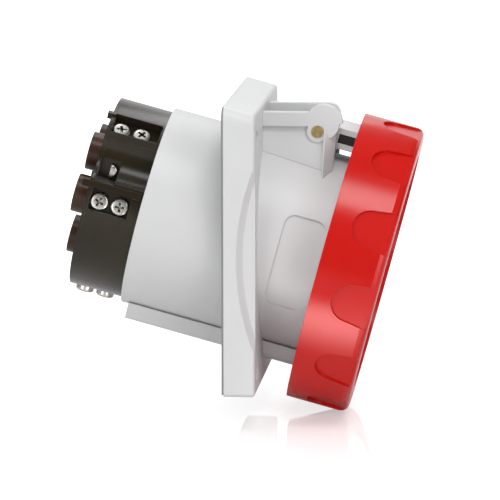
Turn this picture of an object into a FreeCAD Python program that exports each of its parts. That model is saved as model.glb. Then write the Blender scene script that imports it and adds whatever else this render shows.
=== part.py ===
"""Angled panel socket for heavy current, with a hinged lid and a bayonet locking ring.

The origin is the centre of the four fixing holes on the back of the flange.  +Z is up, the lid looks to -Y and
the terminals to +Y.  The round parts lie on the socket axis, which leans forward and down by the tilt.  They are
drawn in their own frame: x to the right, y up across the axis and z forward along it, from the point where the
axis crosses the front of the flange.  Sizes are millimetres and degrees.
"""
import FreeCAD, Part
import os
import re

import Sketcher

SIZES = [
    ("tilt", 15.0, "lean of the socket axis, forward and down"),
    ("axis_rise", 0.5, "height of the axis where it crosses the front of the flange"),
    ("flange_width", 100.0, "flange across"),
    ("flange_top", 58.5, "top of the flange above the middle of the holes, at the back"),
    ("flange_bottom", 53.5, "bottom of the flange below the middle of the holes"),
    ("flange_thick", 12.0, "flange from the gasket to its front"),
    ("flange_slope", 15.0, "slope of the flange's top face"),
    ("corner_radius", 5.0, "upper corners of the flange"),
    ("foot_radius", 1.5, "lower corners of the flange"),
    ("edge_radius", 1.4, "front edge of the flange"),
    ("hole_inset", 10.0, "fixing holes from the sides of the flange"),
    ("hole_up", 90.0, "fixing holes, up and down"),
    ("hole_bore", 7.0, "bore of a fixing hole"),
    ("scoop_radius", 98.7, "finger scoop in each side of the flange"),
    ("scoop_reach", 7.1, "how far a scoop reaches behind the front of the flange"),
    ("scoop_depth", 3.0, "depth of a scoop"),
    ("scoop_bevel", 2.2, "bevel along the wall of a scoop"),
    ("gasket_thick", 0.8, "panel gasket"),
    ("gasket_inset", 0.8, "gasket edge inside the flange edge"),
    ("gasket_gap", 1.5, "gasket opening round the barrel"),
    ("barrel_bore", 73.0, "inside of the barrel, round the plug's shroud"),
    ("barrel_wall", 3.0, "wall of the barrel"),
    ("barrel_back", 48.0, "barrel behind the front of the flange"),
    ("collar_back", 31.0, "back of the bayonet collar"),
    ("collar_front", 43.0, "front rim of the barrel"),
    ("collar_wall", 9.5, "wall of the bayonet collar"),
    ("collar_ramp", 0.9, "ramp behind the bayonet collar"),
    ("cam_height", 3.0, "bayonet cams above the collar"),
    ("cam_inset", 1.5, "bayonet cams in front of the collar's back"),
    ("cam_length", 4.5, "bayonet cams along the axis"),
    ("cam_angle", 30.0, "length of a bayonet cam round the axis"),
    ("cam_start", 11.0, "where a cam starts, from the horizontal"),
    ("shoulder_back", 14.0, "back of the shoulder that stops the contact core"),
    ("shoulder_front", 10.0, "front of that shoulder"),
    ("shoulder_bore", 63.0, "bore of that shoulder"),
    ("rib_width", 34.0, "key housing under the barrel"),
    ("rib_drop", 3.7, "flat underside of the key housing below the barrel"),
    ("rib_back", 44.7, "back end of the key housing"),
    ("rib_radius", 2.5, "lower edges of the key housing"),
    ("key_width", 11.0, "keyway"),
    ("key_drop", 3.9, "bottom of the keyway below the bore"),
    ("pad_width", 36.0, "flat pad on each side of the barrel, up and down"),
    ("pad_back", 6.8, "back edge of that pad"),
    ("pad_front", 23.0, "front edge of that pad"),
    ("pad_depth", 0.7, "depth of that pad"),
    ("pad_radius", 4.0, "corners of that pad"),
    ("cheek_half", 17.0, "outside of a hinge cheek from the middle"),
    ("cheek_thick", 5.0, "hinge cheek"),
    ("cheek_top", 52.4, "top of the cheek bar"),
    ("cheek_bar", 5.3, "depth of the cheek bar"),
    ("web_sink", 2.0, "web of a cheek behind its bar"),
    ("web_flare", 5.0, "how far the web spreads at its foot"),
    ("post_back", 35.9, "back edge of the cheek's front post"),
    ("post_front", 40.8, "front of the post at its top"),
    ("post_foot_front", 38.7, "front of the post at its foot"),
    ("post_foot_back", 35.3, "back edge of the post at its foot"),
    ("post_foot", 24.0, "height of the post's foot"),
    ("post_flare", 6.6, "how far the post spreads at its foot"),
    ("post_bevel", 4.6, "wide bevel on the outer front edge of the post"),
    ("post_land", 0.5, "flat beside that bevel"),
    ("pin_reach", 21.3, "hinge pin in front of the flange"),
    ("pin_height", 45.0, "hinge pin above the middle of the holes"),
    ("pin_bore", 4.7, "hinge pin"),
    ("boss_bore", 8.2, "boss round the pin"),
    ("knuckle_reach", 23.7, "middle of the cheek's round end in front of the flange"),
    ("knuckle_height", 48.1, "middle of the cheek's round end"),
    ("knuckle_radius", 7.3, "round end of the cheek, upper half"),
    ("knuckle_low", 6.0, "lower half of that round end, where the post runs into it"),
    ("knuckle_far", 4.3, "round end of the other cheek, flush with its bar"),
    ("core_bore", 61.0, "contact core, front part"),
    ("core_front", 38.0, "face of the contact core"),
    ("core_flange", 6.0, "flange of the contact core behind the shoulder"),
    ("fit_gap", 0.3, "gap round the parts that slide into the barrel"),
    ("snug", 0.1, "gap round the contacts"),
    ("mouth_gap", 0.6, "widening of the core in front of a contact sleeve"),
    ("block_bore", 75.4, "terminal block behind the barrel"),
    ("block_back", 68.3, "back of the terminal block"),
    ("cover_thick", 1.2, "entry cover on the back of the block"),
    ("entry_bore", 9.6, "wire entry"),
    ("entry_wall", 2.7, "wall of a wire entry"),
    ("entry_height", 5.4, "collar of a wire entry behind the cover"),
    ("contact_circle", 20.0, "radius of the contact circle"),
    ("sleeve_bore", 8.2, "bore of a contact sleeve"),
    ("earth_bore", 10.2, "bore of the earth sleeve"),
    ("sleeve_wall", 1.5, "wall of a contact sleeve"),
    ("sleeve_front", 36.0, "front end of the sleeves"),
    ("sleeve_depth", 36.0, "depth of the bore in a sleeve"),
    ("sleeve_back", 24.0, "back end of the round part"),
    ("bridge_thick", 5.0, "plate between the sleeve and its terminal"),
    ("terminal_circle", 25.0, "radius at which the side terminals lie"),
    ("upper_circle", 20.5, "radius at which the upper terminals lie"),
    ("earth_circle", 19.0, "radius at which the earth terminal lies"),
    ("terminal_side", 9.5, "terminal across"),
    ("terminal_back", 67.8, "back end of a terminal"),
    ("terminal_bore", 7.0, "wire hole of a terminal"),
    ("pilot_bore", 3.2, "bore of the pilot sleeve"),
    ("pilot_outer", 6.0, "pilot sleeve"),
    ("pilot_back", 60.0, "back end of the pilot sleeve"),
    ("head_circle", 33.75, "radius of the floor under a screw head"),
    ("head_bore", 7.2, "terminal screw head"),
    ("head_height", 2.4, "height of a screw head"),
    ("shank_bore", 4.0, "terminal screw"),
    ("screw_back", 64.2, "rear terminal screw"),
    ("screw_pitch", 8.2, "terminal screws along the terminal"),
    ("pocket_above", 5.3, "upper wall of a pocket above the middle of its screws"),
    ("pocket_below", 3.9, "lower wall of a pocket below the middle of its screws"),
    ("pocket_back", 67.9, "back end of the pockets"),
    ("upper_pocket_front", 49.2, "front end of an upper pocket"),
    ("lower_pocket_front", 52.3, "front end of a lower pocket"),
    ("groove_radius", 12.0, "hollow between the pockets"),
    ("groove_circle", 45.0, "radius at which the middle of the hollow lies"),
    ("brow_rise", 0.9, "lip over a pocket, above the block"),
    ("brow_width", 1.7, "lip over an upper pocket"),
    ("lower_brow_width", 2.8, "lip over a lower pocket"),
    ("upper_brow_back", 71.2, "back end of a lip over an upper pocket"),
    ("lower_brow_back", 72.2, "back end of a lip over a lower pocket"),
    ("window_back", 68.3, "back edge of the test window"),
    ("window_front", 60.2, "front edge of the test window"),
    ("window_low", 10.2, "lower edge of the test window above the axis"),
    ("window_high", 18.4, "upper edge of the test window above the axis"),
    ("window_floor", 25.5, "floor of the test window from the middle"),
    ("clip_thick", 3.0, "strip in the test window"),
    ("seal_front", 7.0, "front of the shroud seal"),
    ("seal_width", 4.4, "width of the shroud seal"),
    ("ring_outer", 115.0, "bayonet ring"),
    ("ring_wall", 3.3, "wall of the bayonet ring"),
    ("ring_back", 24.4, "rear edge of the ring"),
    ("ring_front", 48.9, "front edge of the ring"),
    ("ring_round", 3.1, "front edge of the ring, in three bevels"),
    ("ring_lip", 94.0, "opening of the ring at the front"),
    ("ring_lip_thick", 1.6, "front lip of the ring"),
    ("lug_length", 4.0, "bayonet lugs along the axis"),
    ("lug_width", 10.0, "bayonet lugs round the ring"),
    ("lug_gap", 0.6, "lugs behind the cams and outside the collar"),
    ("lug_start", 6.0, "bayonet lugs below and above the horizontal"),
    ("snap_length", 2.4, "snaps that hold the ring on the lid, along the axis"),
    ("snap_height", 1.6, "height of those snaps"),
    ("snap_width", 9.0, "those snaps round the ring"),
    ("ring_phase", 5.6, "turn of the ring's finger recesses from the horizontal"),
    ("recess_count", 12.0, "finger recesses"),
    ("recess_depth", 1.3, "depth of a finger recess"),
    ("recess_radius", 7.3, "round end of a finger recess"),
    ("recess_back", 8.1, "ring behind a finger recess"),
    ("recess_half", 8.9, "half width of a finger recess at the front"),
    ("lid_gap", 0.6, "lid in front of the barrel"),
    ("lid_rim", 3.5, "rim of the lid, along the axis"),
    ("lid_clear", 0.4, "gap between the lid and the ring"),
    ("lid_dish", 1.6, "middle of the lid behind the ring's front"),
    ("lid_skin", 2.6, "thickness of the middle of the lid"),
    ("lid_seal_inner", 37.2, "inner radius of the lid seal"),
    ("lid_seal_width", 7.0, "lid seal"),
    ("lid_seal_sink", 1.8, "groove of the lid seal"),
    ("arm_half", 11.6, "lid arm from the middle"),
    ("arm_crown", 52.8, "radius of the arm's upper side about the axis"),
    ("arm_under", 49.3, "underside of the arm's upper plate"),
    ("arm_low", 43.4, "underside of the arm's lower plate"),
    ("arm_plate", 2.3, "lower plate of the arm"),
    ("arm_window_back", 17.4, "back end of the window in the arm"),
    ("arm_window_front", 27.4, "front end of the window in the arm"),
    ("arm_step", 29.6, "where the arm steps up over the collar"),
    ("arm_step_under", 46.7, "underside of the arm over the collar"),
    ("eye_radius", 6.2, "eye of the lid arm round the pin"),
    ("eye_gap", 0.06, "gap between the pin and the eye"),
    ("spring_half", 6.0, "half width of the spring's place in the eye"),
    ("spring_wire", 1.2, "wire of the hinge spring"),
    ("spring_turns", 4.0, "turns of the hinge spring"),
    ("pin_fit", 0.02, "gap between the pin and the cheeks"),
]

# Round the axis, counter-clockwise from +x in the socket's own frame: where the contact stands, where its
# terminal lies, how far out the terminal is, its bore and the floor under its screw heads.
CONTACTS = {
    "l1": (126.0, 125.0, "upper_circle", "sleeve_bore", "head_circle"),
    "l2": (54.0, 55.0, "upper_circle", "sleeve_bore", "head_circle"),
    "l3": (-18.0, 4.0, "terminal_circle", "sleeve_bore", "head_circle"),
    "n": (198.0, 176.0, "terminal_circle", "sleeve_bore", "head_circle"),
    "earth": (270.0, 270.0, "earth_circle", "earth_bore", "block_bore / 2"),
}
POCKETS = (
    (125.0, "upper_pocket_front", "pocket_above", "pocket_below"),
    (55.0, "upper_pocket_front", "pocket_below", "pocket_above"),
    (176.0, "lower_pocket_front", "pocket_above", "pocket_below"),
    (4.0, "lower_pocket_front", "pocket_below", "pocket_above"),
)
GROOVES = (150.0, 30.0)
BROWS = (
    (117.0, "upper_brow_back", "brow_width"),
    (63.0, "upper_brow_back", "brow_width"),
    (166.9, "lower_brow_back", "lower_brow_width"),
    (13.1, "lower_brow_back", "lower_brow_width"),
)

document = FreeCAD.newDocument("panel_socket")
dims = document.addObject("Spreadsheet::Sheet", "dims")
for row, (alias, value, meaning) in enumerate(SIZES, start=1):
    dims.set(f"A{row}", alias)
    dims.set(f"B{row}", str(value))
    dims.set(f"C{row}", meaning)
    dims.setAlias(f"B{row}", alias)
document.recompute()
ALIASES = {alias for alias, value, meaning in SIZES}


def linked(text):
    """The same formula with each size taken from the sheet."""
    return re.sub(r"[a-z]\w*", lambda m: "dims." + m.group() if m.group() in ALIASES else m.group(), text)


def number(text):
    """What a formula of sizes comes to now."""
    found = document.dims.evalExpression(linked(text))
    return float(getattr(found, "Value", found))


def bind(thing, name, text):
    """Ties a property to a formula of sizes."""
    thing.setExpression(name, linked(text))


# The hinge pin in the socket's own frame
PIN_Y = "(pin_reach * sin(tilt * 1 deg) + (pin_height - axis_rise) * cos(tilt * 1 deg))"
PIN_Z = "(pin_reach * cos(tilt * 1 deg) - (pin_height - axis_rise) * sin(tilt * 1 deg))"
BARREL = "(barrel_bore / 2 + barrel_wall)"
COLLAR = "(barrel_bore / 2 + collar_wall)"
LID_BACK = "(collar_front + lid_gap)"
RING_BORE = "(ring_outer / 2 - ring_wall)"
RIB_DEPTH = "(barrel_bore / 2 + barrel_wall + rib_drop)"
HOLE_X = "(flange_width / 2 - hole_inset)"
COVER_BACK = "(block_back + cover_thick)"


def lean(thing):
    """Puts a part drawn in the socket's own frame on the leaning axis."""
    thing.Placement = FreeCAD.Placement(
        FreeCAD.Vector(0, -number("flange_thick"), number("axis_rise")),
        FreeCAD.Rotation(FreeCAD.Vector(1, 0, 0), 90 + number("tilt")),
    )
    bind(thing, "Placement.Base.y", "-flange_thick")
    bind(thing, "Placement.Base.z", "axis_rise")
    bind(thing, "Placement.Rotation.Angle", "(90 + tilt) * 1 deg")


def body(label, leaning=True):
    """An empty body, on the leaning axis or upright."""
    made = document.addObject("PartDesign::Body", label)
    made.Label = label
    if hasattr(made, "AllowCompound"):
        made.AllowCompound = True
    if leaning:
        lean(made)
    return made


def sketch(owner, plane="XY", depth="0", angle="0"):
    """A sketch on an origin plane, moved along its normal and turned about the frame's z."""
    flat = owner.newObject("Sketcher::SketchObject", owner.Name + "_sketch")
    support = [item for item in owner.Origin.OriginFeatures if item.Role == plane + "_Plane"][0]
    flat.AttachmentSupport = [(support, "")]
    flat.MapMode = "FlatFace"
    about = {"XY": (0, 0, 1), "XZ": (0, 1, 0), "YZ": (0, 1, 0)}[plane]
    flat.AttachmentOffset = FreeCAD.Placement(FreeCAD.Vector(), FreeCAD.Rotation(FreeCAD.Vector(*about), 10))
    bind(flat, "AttachmentOffset.Rotation.Angle", f"({angle}) * 1 deg")
    if plane == "YZ":
        bind(flat, "AttachmentOffset.Base.x", f"({depth}) * sin(({angle}) * 1 deg)")
        bind(flat, "AttachmentOffset.Base.z", f"({depth}) * cos(({angle}) * 1 deg)")
    else:
        bind(flat, "AttachmentOffset.Base.z", depth)
    return flat


def pin_down(flat, geometry, corner, axis, text):
    """Fixes one coordinate of a sketch point to a formula."""
    if text == "0":
        line = -2 if axis == "X" else -1
        flat.addConstraint(Sketcher.Constraint("PointOnObject", geometry, corner, line))
        return
    kind = "DistanceX" if axis == "X" else "DistanceY"
    row = flat.addConstraint(Sketcher.Constraint(kind, geometry, corner, number(text)))
    bind(flat, f"Constraints[{row}]", text)


def polygon(flat, points):
    """A closed outline through points given as pairs of formulas."""
    places = [FreeCAD.Vector(number(x), number(y), 0) for x, y in points]
    lines = [
        flat.addGeometry(Part.LineSegment(place, places[(i + 1) % len(places)]), False)
        for i, place in enumerate(places)
    ]
    for i, line in enumerate(lines):
        flat.addConstraint(Sketcher.Constraint("Coincident", line, 2, lines[(i + 1) % len(lines)], 1))
    for line, (x, y) in zip(lines, points):
        pin_down(flat, line, 1, "X", x)
        pin_down(flat, line, 1, "Y", y)


def rectangle(flat, left, right, low, high):
    """A rectangle between four formulas."""
    polygon(flat, [(left, low), (right, low), (right, high), (left, high)])


def circle(flat, x, y, diameter):
    """A circle at a pair of formulas."""
    middle = FreeCAD.Vector(number(x), number(y), 0)
    made = flat.addGeometry(Part.Circle(middle, FreeCAD.Vector(0, 0, 1), number(diameter) / 2), False)
    row = flat.addConstraint(Sketcher.Constraint("Diameter", made, number(diameter)))
    bind(flat, f"Constraints[{row}]", diameter)
    pin_down(flat, made, 3, "X", x)
    pin_down(flat, made, 3, "Y", y)


def grown(owner, kind, flat, length, both=False, against=False):
    """A pad or a pocket of a sketch; both goes half each way, against turns it round."""
    document.recompute()
    made = owner.newObject("PartDesign::" + kind, owner.Name + "_" + kind.lower())
    made.Profile = flat
    bind(made, "Length", length)
    made.Midplane = both
    made.Reversed = against
    return made


def pad(owner, flat, length, both=False, against=False):
    """Adds a sketch's outline as a prism along its normal."""
    return grown(owner, "Pad", flat, length, both, against)


def pocket(owner, flat, length, both=False, against=False):
    """Takes a sketch's outline out, against its normal."""
    return grown(owner, "Pocket", flat, length, both, against)


def turned(owner, points, groove=False):
    """A solid of revolution about the frame's z; points are radius and height."""
    flat = sketch(owner, "XZ")
    polygon(flat, points)
    document.recompute()
    kind = "Groove" if groove else "Revolution"
    made = owner.newObject("PartDesign::" + kind, owner.Name + "_" + kind.lower())
    made.Profile = flat
    made.ReferenceAxis = (flat, ["V_Axis"])
    made.Angle = 360
    return made


def prism(owner, angle, left, right, low, high, start, end):
    """Adds a box along the axis, drawn in a frame turned about the axis by angle."""
    flat = sketch(owner, "XY", start, angle)
    rectangle(flat, left, right, low, high)
    return pad(owner, flat, f"({end}) - ({start})")


def slot(owner, angle, left, right, low, high, start, end):
    """Cuts a box along the axis, drawn in a frame turned about the axis by angle."""
    flat = sketch(owner, "XY", end, angle)
    rectangle(flat, left, right, low, high)
    return pocket(owner, flat, f"({end}) - ({start})")


def drilled(owner, angle, x, y, diameter, start, end):
    """Cuts a round hole along the axis, placed in a frame turned about the axis by angle."""
    flat = sketch(owner, "XY", end, angle)
    circle(flat, x, y, diameter)
    return pocket(owner, flat, f"({end}) - ({start})")


def rod(owner, angle, x, y, diameter, start, end):
    """Adds a round bar along the axis, placed in a frame turned about the axis by angle."""
    flat = sketch(owner, "XY", start, angle)
    circle(flat, x, y, diameter)
    return pad(owner, flat, f"({end}) - ({start})")


def soften(owner, radius, chosen, kind="Fillet"):
    """Rounds the edges of a body that a test picks."""
    document.recompute()
    base = owner.Tip
    names = [f"Edge{i}" for i, edge in enumerate(base.Shape.Edges, start=1) if chosen(edge)]
    made = owner.newObject("PartDesign::" + kind, owner.Name + "_" + kind.lower())
    made.Base = (base, names)
    bind(made, "Radius" if kind == "Fillet" else "Size", radius)
    document.recompute()
    return made


def joined(label, parts):
    """Several solids as one."""
    made = document.addObject("Part::MultiFuse", label)
    made.Shapes = parts
    made.Refine = True
    return made


def carved(label, base, tool, kind="Cut"):
    """One solid with another taken out of it, or with kind Common only what both fill."""
    made = document.addObject("Part::" + kind, label)
    made.Base = base
    made.Tool = tool
    made.Refine = True
    return made


def halved(front, rear, whole, start, end):
    """The part of a solid in front of and the part between two places on the axis."""
    span = body(rear + "_span")
    rod(span, "0", "0", "0", "4 * ring_outer", start, end)
    return carved(front, whole, span), carved(rear, whole, span, "Common")


def runs_along(edge, axis):
    """Whether an edge is straight and parallel to an axis."""
    if edge.Curve.TypeId != "Part::GeomLine":
        return False
    along = edge.Curve.Direction
    return abs(abs(getattr(along, axis)) - 1) < 1e-6


# Flange with its sloped top
flange = body("housing_flange", leaning=False)
flat = sketch(flange, "YZ")
polygon(flat, [
    ("0", "-flange_bottom"),
    ("0", "flange_top"),
    ("-flange_thick", "flange_top - flange_thick * tan(flange_slope * 1 deg)"),
    ("-flange_thick", "-flange_bottom"),
])
pad(flange, flat, "flange_width", both=True)


def flange_side(edge, top):
    """An edge between a side of the flange and its top or bottom."""
    middle = edge.CenterOfMass
    at_side = abs(abs(middle.x) - number("flange_width / 2")) < 0.01
    return at_side and (middle.z > 0) == top and abs(middle.y + number("flange_thick / 2")) < 0.5


soften(flange, "corner_radius", lambda edge: flange_side(edge, True))
soften(flange, "foot_radius", lambda edge: flange_side(edge, False))
soften(flange, "edge_radius", lambda edge: edge.BoundBox.YMax < -number("flange_thick") + 0.01)
flat = sketch(flange, "XZ")
for side in ("", "-"):
    for level in ("", "-"):
        circle(flat, side + HOLE_X, level + "hole_up / 2", "hole_bore")
pocket(flange, flat, "4 * flange_thick", both=True)

# Finger scoops in the sides, with a bevelled wall
scoops = []
for side in (1, -1):
    scoop = document.addObject("Part::Cone", "housing_scoop")
    turn = FreeCAD.Rotation(FreeCAD.Vector(0, 1, 0), 90 * side)
    scoop.Placement = FreeCAD.Placement(FreeCAD.Vector(), turn)
    bind(scoop, "Radius1", "scoop_radius - scoop_bevel")
    bind(scoop, "Radius2", "scoop_radius")
    bind(scoop, "Height", "scoop_depth")
    bind(scoop, "Placement.Base.x", f"{side} * (flange_width / 2 - scoop_depth)")
    bind(scoop, "Placement.Base.y", "-flange_thick + scoop_reach - scoop_radius")
    bind(scoop, "Placement.Base.z", "-axis_rise")
    scoops.append(scoop)

# Barrel with the bayonet collar at its front
barrel = body("housing_barrel")
turned(barrel, [
    ("0", "-barrel_back"),
    (BARREL, "-barrel_back"),
    (BARREL, "collar_back - collar_ramp"),
    (COLLAR, "collar_back"),
    (COLLAR, "collar_front"),
    ("0", "collar_front"),
])
rib = body("housing_rib")
prism(rib, "0", "-rib_width / 2", "rib_width / 2", "-" + RIB_DEPTH, "-barrel_bore / 2", "-rib_back",
      "collar_back + 1")
soften(rib, "rib_radius", lambda edge: runs_along(edge, "z") and edge.CenterOfMass.y < -number(RIB_DEPTH) + 0.01)

cams = body("bayonet_cams")
for half_turn in ("0", "180"):
    flat = sketch(cams, "XZ", "0", f"{half_turn} - cam_start")
    rectangle(flat, COLLAR, COLLAR + " + cam_height", "collar_back + cam_inset",
              "collar_back + cam_inset + cam_length")
    document.recompute()
    sweep = cams.newObject("PartDesign::Revolution", "bayonet_cam_sweep")
    sweep.Profile = flat
    sweep.ReferenceAxis = (flat, ["V_Axis"])
    sweep.Reversed = True
    bind(sweep, "Angle", "cam_angle")

# Hinge cheeks on the front of the flange: a round end, a post and a bar, with a thin web between them
cheeks = body("housing_cheeks", leaning=False)
flat = sketch(cheeks, "YZ")
circle(flat, "-flange_thick - knuckle_reach", "knuckle_height", "2 * knuckle_radius")
pad(cheeks, flat, "cheek_half", against=True)
flat = sketch(cheeks, "YZ")
rectangle(flat, "-2 * post_front", "0", "0", "knuckle_height")
pocket(cheeks, flat, "4 * cheek_half", both=True)
for far, radius in ((False, "knuckle_low"), (True, "knuckle_far")):
    flat = sketch(cheeks, "YZ")
    circle(flat, "-flange_thick - knuckle_reach", "knuckle_height", "2 * " + radius)
    pad(cheeks, flat, "cheek_half", against=not far)
flat = sketch(cheeks, "YZ")
circle(flat, "-flange_thick - pin_reach", "pin_height", "boss_bore")
pad(cheeks, flat, "2 * cheek_half", both=True)
flat = sketch(cheeks, "YZ")
rectangle(flat, "-flange_thick - knuckle_reach", "-flange_thick / 2", "cheek_top - cheek_bar", "cheek_top")
pad(cheeks, flat, "2 * cheek_half", both=True)
for side in ("", "-"):
    flat = sketch(cheeks, "XZ", "flange_thick - 1")
    polygon(flat, [
        (f"{side}(cheek_half - cheek_thick - 1)", "cheek_top - 1"),
        (f"{side}(cheek_half - web_sink)", "cheek_top - 1"),
        (f"{side}(cheek_half - web_sink)", "cheek_top - cheek_bar"),
        (f"{side}(cheek_half - web_sink + web_flare)", "post_foot + 2"),
        (f"{side}(cheek_half - cheek_thick - 1)", "post_foot + 2"),
    ])
    pad(cheeks, flat, "post_back - flange_thick + 2")
    sections = []
    for level, outer, front, back in (
            ("post_foot", "(cheek_half + post_flare)", "post_foot_front", "post_foot_back"),
            ("knuckle_height", "cheek_half", "post_front", "post_back")):
        flat = sketch(cheeks, "XY", level)
        polygon(flat, [
            (f"{side}(cheek_half - cheek_thick - 1)", f"-{back}"),
            (f"{side}{outer}", f"-{back}"),
            (f"{side}{outer}", f"-({back} + post_land)"),
            (f"{side}({outer} - post_bevel)", f"-{front}"),
            (f"{side}(cheek_half - cheek_thick - 1)", f"-{front}"),
        ])
        sections.append(flat)
    document.recompute()
    post = cheeks.newObject("PartDesign::AdditiveLoft", "housing_post")
    post.Profile = sections[0]
    post.Sections = sections[1:]
    post.Ruled = True
flat = sketch(cheeks, "YZ")
rectangle(flat, "-2 * post_front", "-flange_thick", "0", "2 * cheek_top")
pocket(cheeks, flat, "2 * (cheek_half - cheek_thick)", both=True)
flat = sketch(cheeks, "YZ")
circle(flat, "-flange_thick - pin_reach", "pin_height", "pin_bore + 2 * pin_fit")
pocket(cheeks, flat, "4 * cheek_half", both=True)

# What is taken out of the housing: the bore, the keyway and the flat pads
bore = body("housing_bore")
turned(bore, [
    ("0", "-barrel_back - 1"),
    ("barrel_bore / 2", "-barrel_back - 1"),
    ("barrel_bore / 2", "-shoulder_back"),
    ("shoulder_bore / 2", "-shoulder_back"),
    ("shoulder_bore / 2", "-shoulder_front"),
    ("barrel_bore / 2", "-shoulder_front"),
    ("barrel_bore / 2", "collar_front + 1"),
    ("0", "collar_front + 1"),
])
prism(bore, "0", "-key_width / 2", "key_width / 2", "-barrel_bore / 2 - key_drop", "-shoulder_bore / 2 + 2",
      "-shoulder_front", "collar_front + 1")
pads = []
for side in ("", "-"):
    recess = body("housing_pad")
    flat = sketch(recess, "YZ")
    rectangle(flat, "-pad_width / 2", "pad_width / 2", "pad_back", "pad_front")
    pad(recess, flat, "barrel_bore", against=side == "-")
    soften(recess, "pad_radius", lambda edge: runs_along(edge, "x"))
    turned(recess, [
        ("0", "pad_back - 1"),
        (BARREL + " - pad_depth", "pad_back - 1"),
        (BARREL + " - pad_depth", "pad_front + 1"),
        ("0", "pad_front + 1"),
    ], groove=True)
    pads.append(recess)
shell = joined("barrel_shell", [barrel, rib])
hollows = joined("barrel_hollows", [bore] + pads)
tube = carved("barrel_tube", shell, hollows)
barrel_front, barrel_rear = halved("barrel_front", "barrel_rear", tube, "-barrel_back - 1", "-shoulder_front")
plate = carved("flange", flange, joined("flange_cutouts", [shell] + scoops))
brackets = carved("hinge_cheeks", cheeks, joined("cheek_foot", [flange, barrel]))

# Panel gasket behind the flange
sheet = body("gasket_sheet", leaning=False)
flat = sketch(sheet, "XZ")
rectangle(flat, "-flange_width / 2 + gasket_inset", "flange_width / 2 - gasket_inset",
          "-flange_bottom + gasket_inset", "flange_top - gasket_inset")
for side in ("", "-"):
    for level in ("", "-"):
        circle(flat, side + HOLE_X, level + "hole_up / 2", "hole_bore")
pad(sheet, flat, "gasket_thick", against=True)
soften(sheet, "corner_radius - gasket_inset", lambda edge: runs_along(edge, "y")
       and edge.CenterOfMass.z > number("flange_top") - 2 * number("gasket_inset"))
opening = body("gasket_opening")
prism(opening, "0", "-rib_width / 2 - gasket_gap", "rib_width / 2 + gasket_gap", f"-{RIB_DEPTH} - gasket_gap", "0",
      "-barrel_back", "barrel_bore")
rod(opening, "0", "0", "0", f"2 * {BARREL} + 2 * gasket_gap", "-barrel_back", "barrel_bore")
gasket = carved("panel_gasket", sheet, opening)

# Contact core with the pin entries
core = body("contact_core")
turned(core, [
    ("0", "-shoulder_back - core_flange"),
    ("barrel_bore / 2 - fit_gap", "-shoulder_back - core_flange"),
    ("barrel_bore / 2 - fit_gap", "-shoulder_back"),
    ("shoulder_bore / 2 - fit_gap", "-shoulder_back"),
    ("shoulder_bore / 2 - fit_gap", "-shoulder_front"),
    ("core_bore / 2", "-shoulder_front"),
    ("core_bore / 2", "core_front"),
    ("0", "core_front"),
])
for angle, end_angle, circle_radius, sleeve, floor in CONTACTS.values():
    drilled(core, str(angle), "contact_circle", "0", f"{sleeve} + 2 * sleeve_wall + 2 * snug",
            "-shoulder_back - core_flange - 1", "sleeve_front")
    drilled(core, str(angle), "contact_circle", "0", f"{sleeve} + 2 * mouth_gap", "sleeve_front - 1", "core_front + 1")
drilled(core, "0", "0", "0", "pilot_outer + 2 * snug", "-shoulder_back - core_flange - 1", "sleeve_front")
drilled(core, "0", "0", "0", "pilot_bore + 2 * mouth_gap", "sleeve_front - 1", "core_front + 1")

# Contacts: a sleeve for the pin in front, a clamp for the wire behind
SLEEVE_END = "sleeve_back + bridge_thick"
for name, (angle, end_angle, circle_radius, sleeve, floor) in CONTACTS.items():
    contact = body("contact_" + name)
    middle = str((angle + end_angle) / 2)
    spread = f"({circle_radius} * sin({abs(angle - end_angle) / 2} * 1 deg) + terminal_side / 3)"
    outer = f"{sleeve} + 2 * sleeve_wall"
    rod(contact, str(angle), "contact_circle", "0", outer, f"-({SLEEVE_END})", "sleeve_front")
    prism(contact, middle, "contact_circle - 3", f"{circle_radius} + terminal_side / 3", f"-{spread}", spread,
          f"-({SLEEVE_END})", "-sleeve_back")
    prism(contact, str(end_angle), f"{circle_radius} - terminal_side / 2", f"{circle_radius} + terminal_side / 2",
          "-terminal_side / 2", "terminal_side / 2", "-terminal_back", "-sleeve_back")
    drilled(contact, str(angle), "contact_circle", "0", sleeve, "sleeve_front - sleeve_depth", "sleeve_front + 1")
    drilled(contact, str(end_angle), circle_radius, "0", "terminal_bore", "-terminal_back - 1",
            "-screw_back + screw_pitch + shank_bore")
    flat = sketch(contact, "YZ", f"{circle_radius} + terminal_side / 2", str(end_angle))
    for level in ("-screw_back", "-screw_back + screw_pitch"):
        circle(flat, "0", level, "shank_bore + 2 * snug")
    pocket(contact, flat, "terminal_side / 2")
pilot = body("contact_pilot")
rod(pilot, "0", "0", "0", "pilot_outer", "-pilot_back", "sleeve_front")
drilled(pilot, "0", "0", "0", "pilot_bore", "0", "sleeve_front + 1")
drilled(pilot, "0", "0", "0", "pilot_bore", "-pilot_back - 1", "-pilot_back + 10")

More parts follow.
